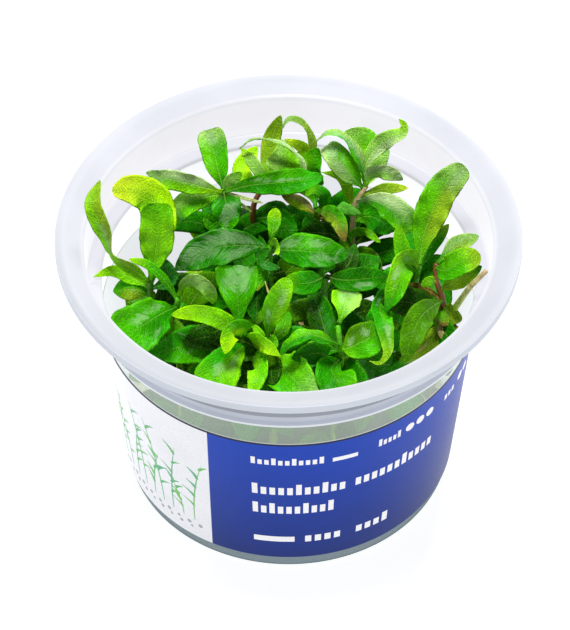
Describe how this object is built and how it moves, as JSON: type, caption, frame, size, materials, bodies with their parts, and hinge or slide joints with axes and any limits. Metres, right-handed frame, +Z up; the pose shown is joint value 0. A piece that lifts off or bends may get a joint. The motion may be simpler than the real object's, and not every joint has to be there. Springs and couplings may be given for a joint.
{
  "type": "tissue culture giant hygrophila",
  "caption": "Round open plastic culture cup with a flared rim and printed sleeve, holding a bushy clump of broad-leaved green aquarium plants on clear gel.",
  "frame": {"origin": "centre of the cup's foot, on the surface that it stands on", "axes": "+Z up, +X to the right as seen from the front, where the label faces"},
  "size_m": [0.118, 0.118, 0.0886],
  "materials": {
    "cup": "clear frosted gloss",
    "label_sleeve": "printed film, satin gloss",
    "nutrient_gel": "wet clear gel",
    "rosette_stem": "fleshy stem with its small leaves",
    "rear_stem": "fleshy stem with its small leaves",
    "inner_stem": "fleshy stem with its small leaves",
    "right_rear_stem": "fleshy stem with its small leaves",
    "right_stem": "fleshy stem with its small leaves",
    "right_front_stem": "fleshy stem with its small leaves",
    "centre_stem": "fleshy stem with its small leaves",
    "middle_stem": "fleshy stem with its small leaves",
    "front_centre_stem": "fleshy stem with its small leaves",
    "front_left_stem": "fleshy stem with its small leaves",
    "left_stem": "fleshy stem with its small leaves",
    "left_rear_stem": "fleshy stem with its small leaves",
    "front_stem": "fleshy stem with its small leaves",
    "cut_stem": "dry cut stem",
    "rosette_leaf_upright": "mid green leaf, soft gloss",
    "rosette_leaf_left": "grey-green sheen leaf, soft gloss",
    "rosette_leaf_lower_left": "blue-green leaf, soft gloss",
    "rosette_leaf_front": "blue-green leaf, soft gloss",
    "rosette_leaf_long_right": "deep green leaf, soft gloss",
    "left_rear_leaf_lime": "lime green leaf, soft gloss",
    "rear_leaf_pale": "pale green leaf, soft gloss",
    "rear_leaf_arched": "olive green leaf, soft gloss",
    "inner_leaf_dark": "deep green leaf, soft gloss",
    "inner_leaf_brown_tip": "olive green leaf, soft gloss",
    "right_rear_leaf_curled_tip": "olive green leaf, soft gloss",
    "right_rear_leaf_arched": "grey-green sheen leaf, soft gloss",
    "right_rear_leaf_glossy": "deep green leaf, soft gloss",
    "right_rear_leaf_grey": "grey-green sheen leaf, soft gloss",
    "right_rear_leaf_drooping": "grey-green sheen leaf, soft gloss",
    "right_rear_leaf_dark": "dark green leaf, soft gloss",
    "right_leaf_tall": "mid green leaf, soft gloss",
    "right_leaf_wavy": "pale green leaf, soft gloss",
    "right_leaf_hooked": "fresh green leaf, soft gloss",
    "right_front_leaf_upper": "olive green leaf, soft gloss",
    "right_front_leaf_round": "bright green leaf, soft gloss",
    "right_front_leaf_pointed": "mid green leaf, soft gloss",
    "right_front_leaf_low": "olive green leaf, soft gloss",
    "centre_leaf_left": "fresh green leaf, soft gloss",
    "centre_leaf_right": "deep green leaf, soft gloss",
    "middle_leaf_dark": "dark green leaf, soft gloss",
    "middle_leaf_oval": "mid green leaf, soft gloss",
    "front_centre_leaf_upright": "bright green leaf, soft gloss",
    "front_left_leaf_folded": "grey-green sheen leaf, soft gloss",
    "front_left_leaf_long": "lime green leaf, soft gloss",
    "front_left_leaf_curl_left": "lime green leaf, soft gloss",
    "front_left_leaf_front": "mid green leaf, soft gloss",
    "front_centre_leaf_corner": "mid green leaf, soft gloss",
    "left_leaf_arched": "grey-green sheen leaf, soft gloss",
    "left_leaf_broad": "mid green leaf, soft gloss",
    "front_left_leaf_dark": "deep green leaf, soft gloss",
    "left_rear_leaf_strap": "olive green leaf, soft gloss",
    "left_rear_leaf_upright": "bright green leaf, soft gloss",
    "front_leaf_arched": "bright green leaf, soft gloss",
    "front_leaf_light": "pale green leaf, soft gloss",
    "front_leaf_front": "fresh green leaf, soft gloss",
    "front_leaf_dark": "deep green leaf, soft gloss",
    "front_leaf_bright": "pale green leaf, soft gloss"
  },
  "bodies": {
    "root": {"cup": "cup", "label_sleeve": "label_sleeve", "nutrient_gel": "nutrient_gel", "rosette_stem": "rosette_stem", "rear_stem": "rear_stem", "inner_stem": "inner_stem", "right_rear_stem": "right_rear_stem", "right_stem": "right_stem", "right_front_stem": "right_front_stem", "centre_stem": "centre_stem", "middle_stem": "middle_stem", "front_centre_stem": "front_centre_stem", "front_left_stem": "front_left_stem", "left_stem": "left_stem", "left_rear_stem": "left_rear_stem", "front_stem": "front_stem", "cut_stem": "cut_stem", "rosette_leaf_upright": "rosette_leaf_upright", "rosette_leaf_left": "rosette_leaf_left", "rosette_leaf_lower_left": "rosette_leaf_lower_left", "rosette_leaf_front": "rosette_leaf_front", "rosette_leaf_long_right": "rosette_leaf_long_right", "left_rear_leaf_lime": "left_rear_leaf_lime", "rear_leaf_pale": "rear_leaf_pale", "rear_leaf_arched": "rear_leaf_arched", "inner_leaf_dark": "inner_leaf_dark", "inner_leaf_brown_tip": "inner_leaf_brown_tip", "right_rear_leaf_curled_tip": "right_rear_leaf_curled_tip", "right_rear_leaf_arched": "right_rear_leaf_arched", "right_rear_leaf_glossy": "right_rear_leaf_glossy", "right_rear_leaf_grey": "right_rear_leaf_grey", "right_rear_leaf_drooping": "right_rear_leaf_drooping", "right_rear_leaf_dark": "right_rear_leaf_dark", "right_leaf_tall": "right_leaf_tall", "right_leaf_wavy": "right_leaf_wavy", "right_leaf_hooked": "right_leaf_hooked", "right_front_leaf_upper": "right_front_leaf_upper", "right_front_leaf_round": "right_front_leaf_round", "right_front_leaf_pointed": "right_front_leaf_pointed", "right_front_leaf_low": "right_front_leaf_low", "centre_leaf_left": "centre_leaf_left", "centre_leaf_right": "centre_leaf_right", "middle_leaf_dark": "middle_leaf_dark", "middle_leaf_oval": "middle_leaf_oval", "front_centre_leaf_upright": "front_centre_leaf_upright", "front_left_leaf_folded": "front_left_leaf_folded", "front_left_leaf_long": "front_left_leaf_long", "front_left_leaf_curl_left": "front_left_leaf_curl_left", "front_left_leaf_front": "front_left_leaf_front", "front_centre_leaf_corner": "front_centre_leaf_corner", "left_leaf_arched": "left_leaf_arched", "left_leaf_broad": "left_leaf_broad", "front_left_leaf_dark": "front_left_leaf_dark", "left_rear_leaf_strap": "left_rear_leaf_strap", "left_rear_leaf_upright": "left_rear_leaf_upright", "front_leaf_arched": "front_leaf_arched", "front_leaf_light": "front_leaf_light", "front_leaf_front": "front_leaf_front", "front_leaf_dark": "front_leaf_dark", "front_leaf_bright": "front_leaf_bright"}
  },
  "joints": []
}
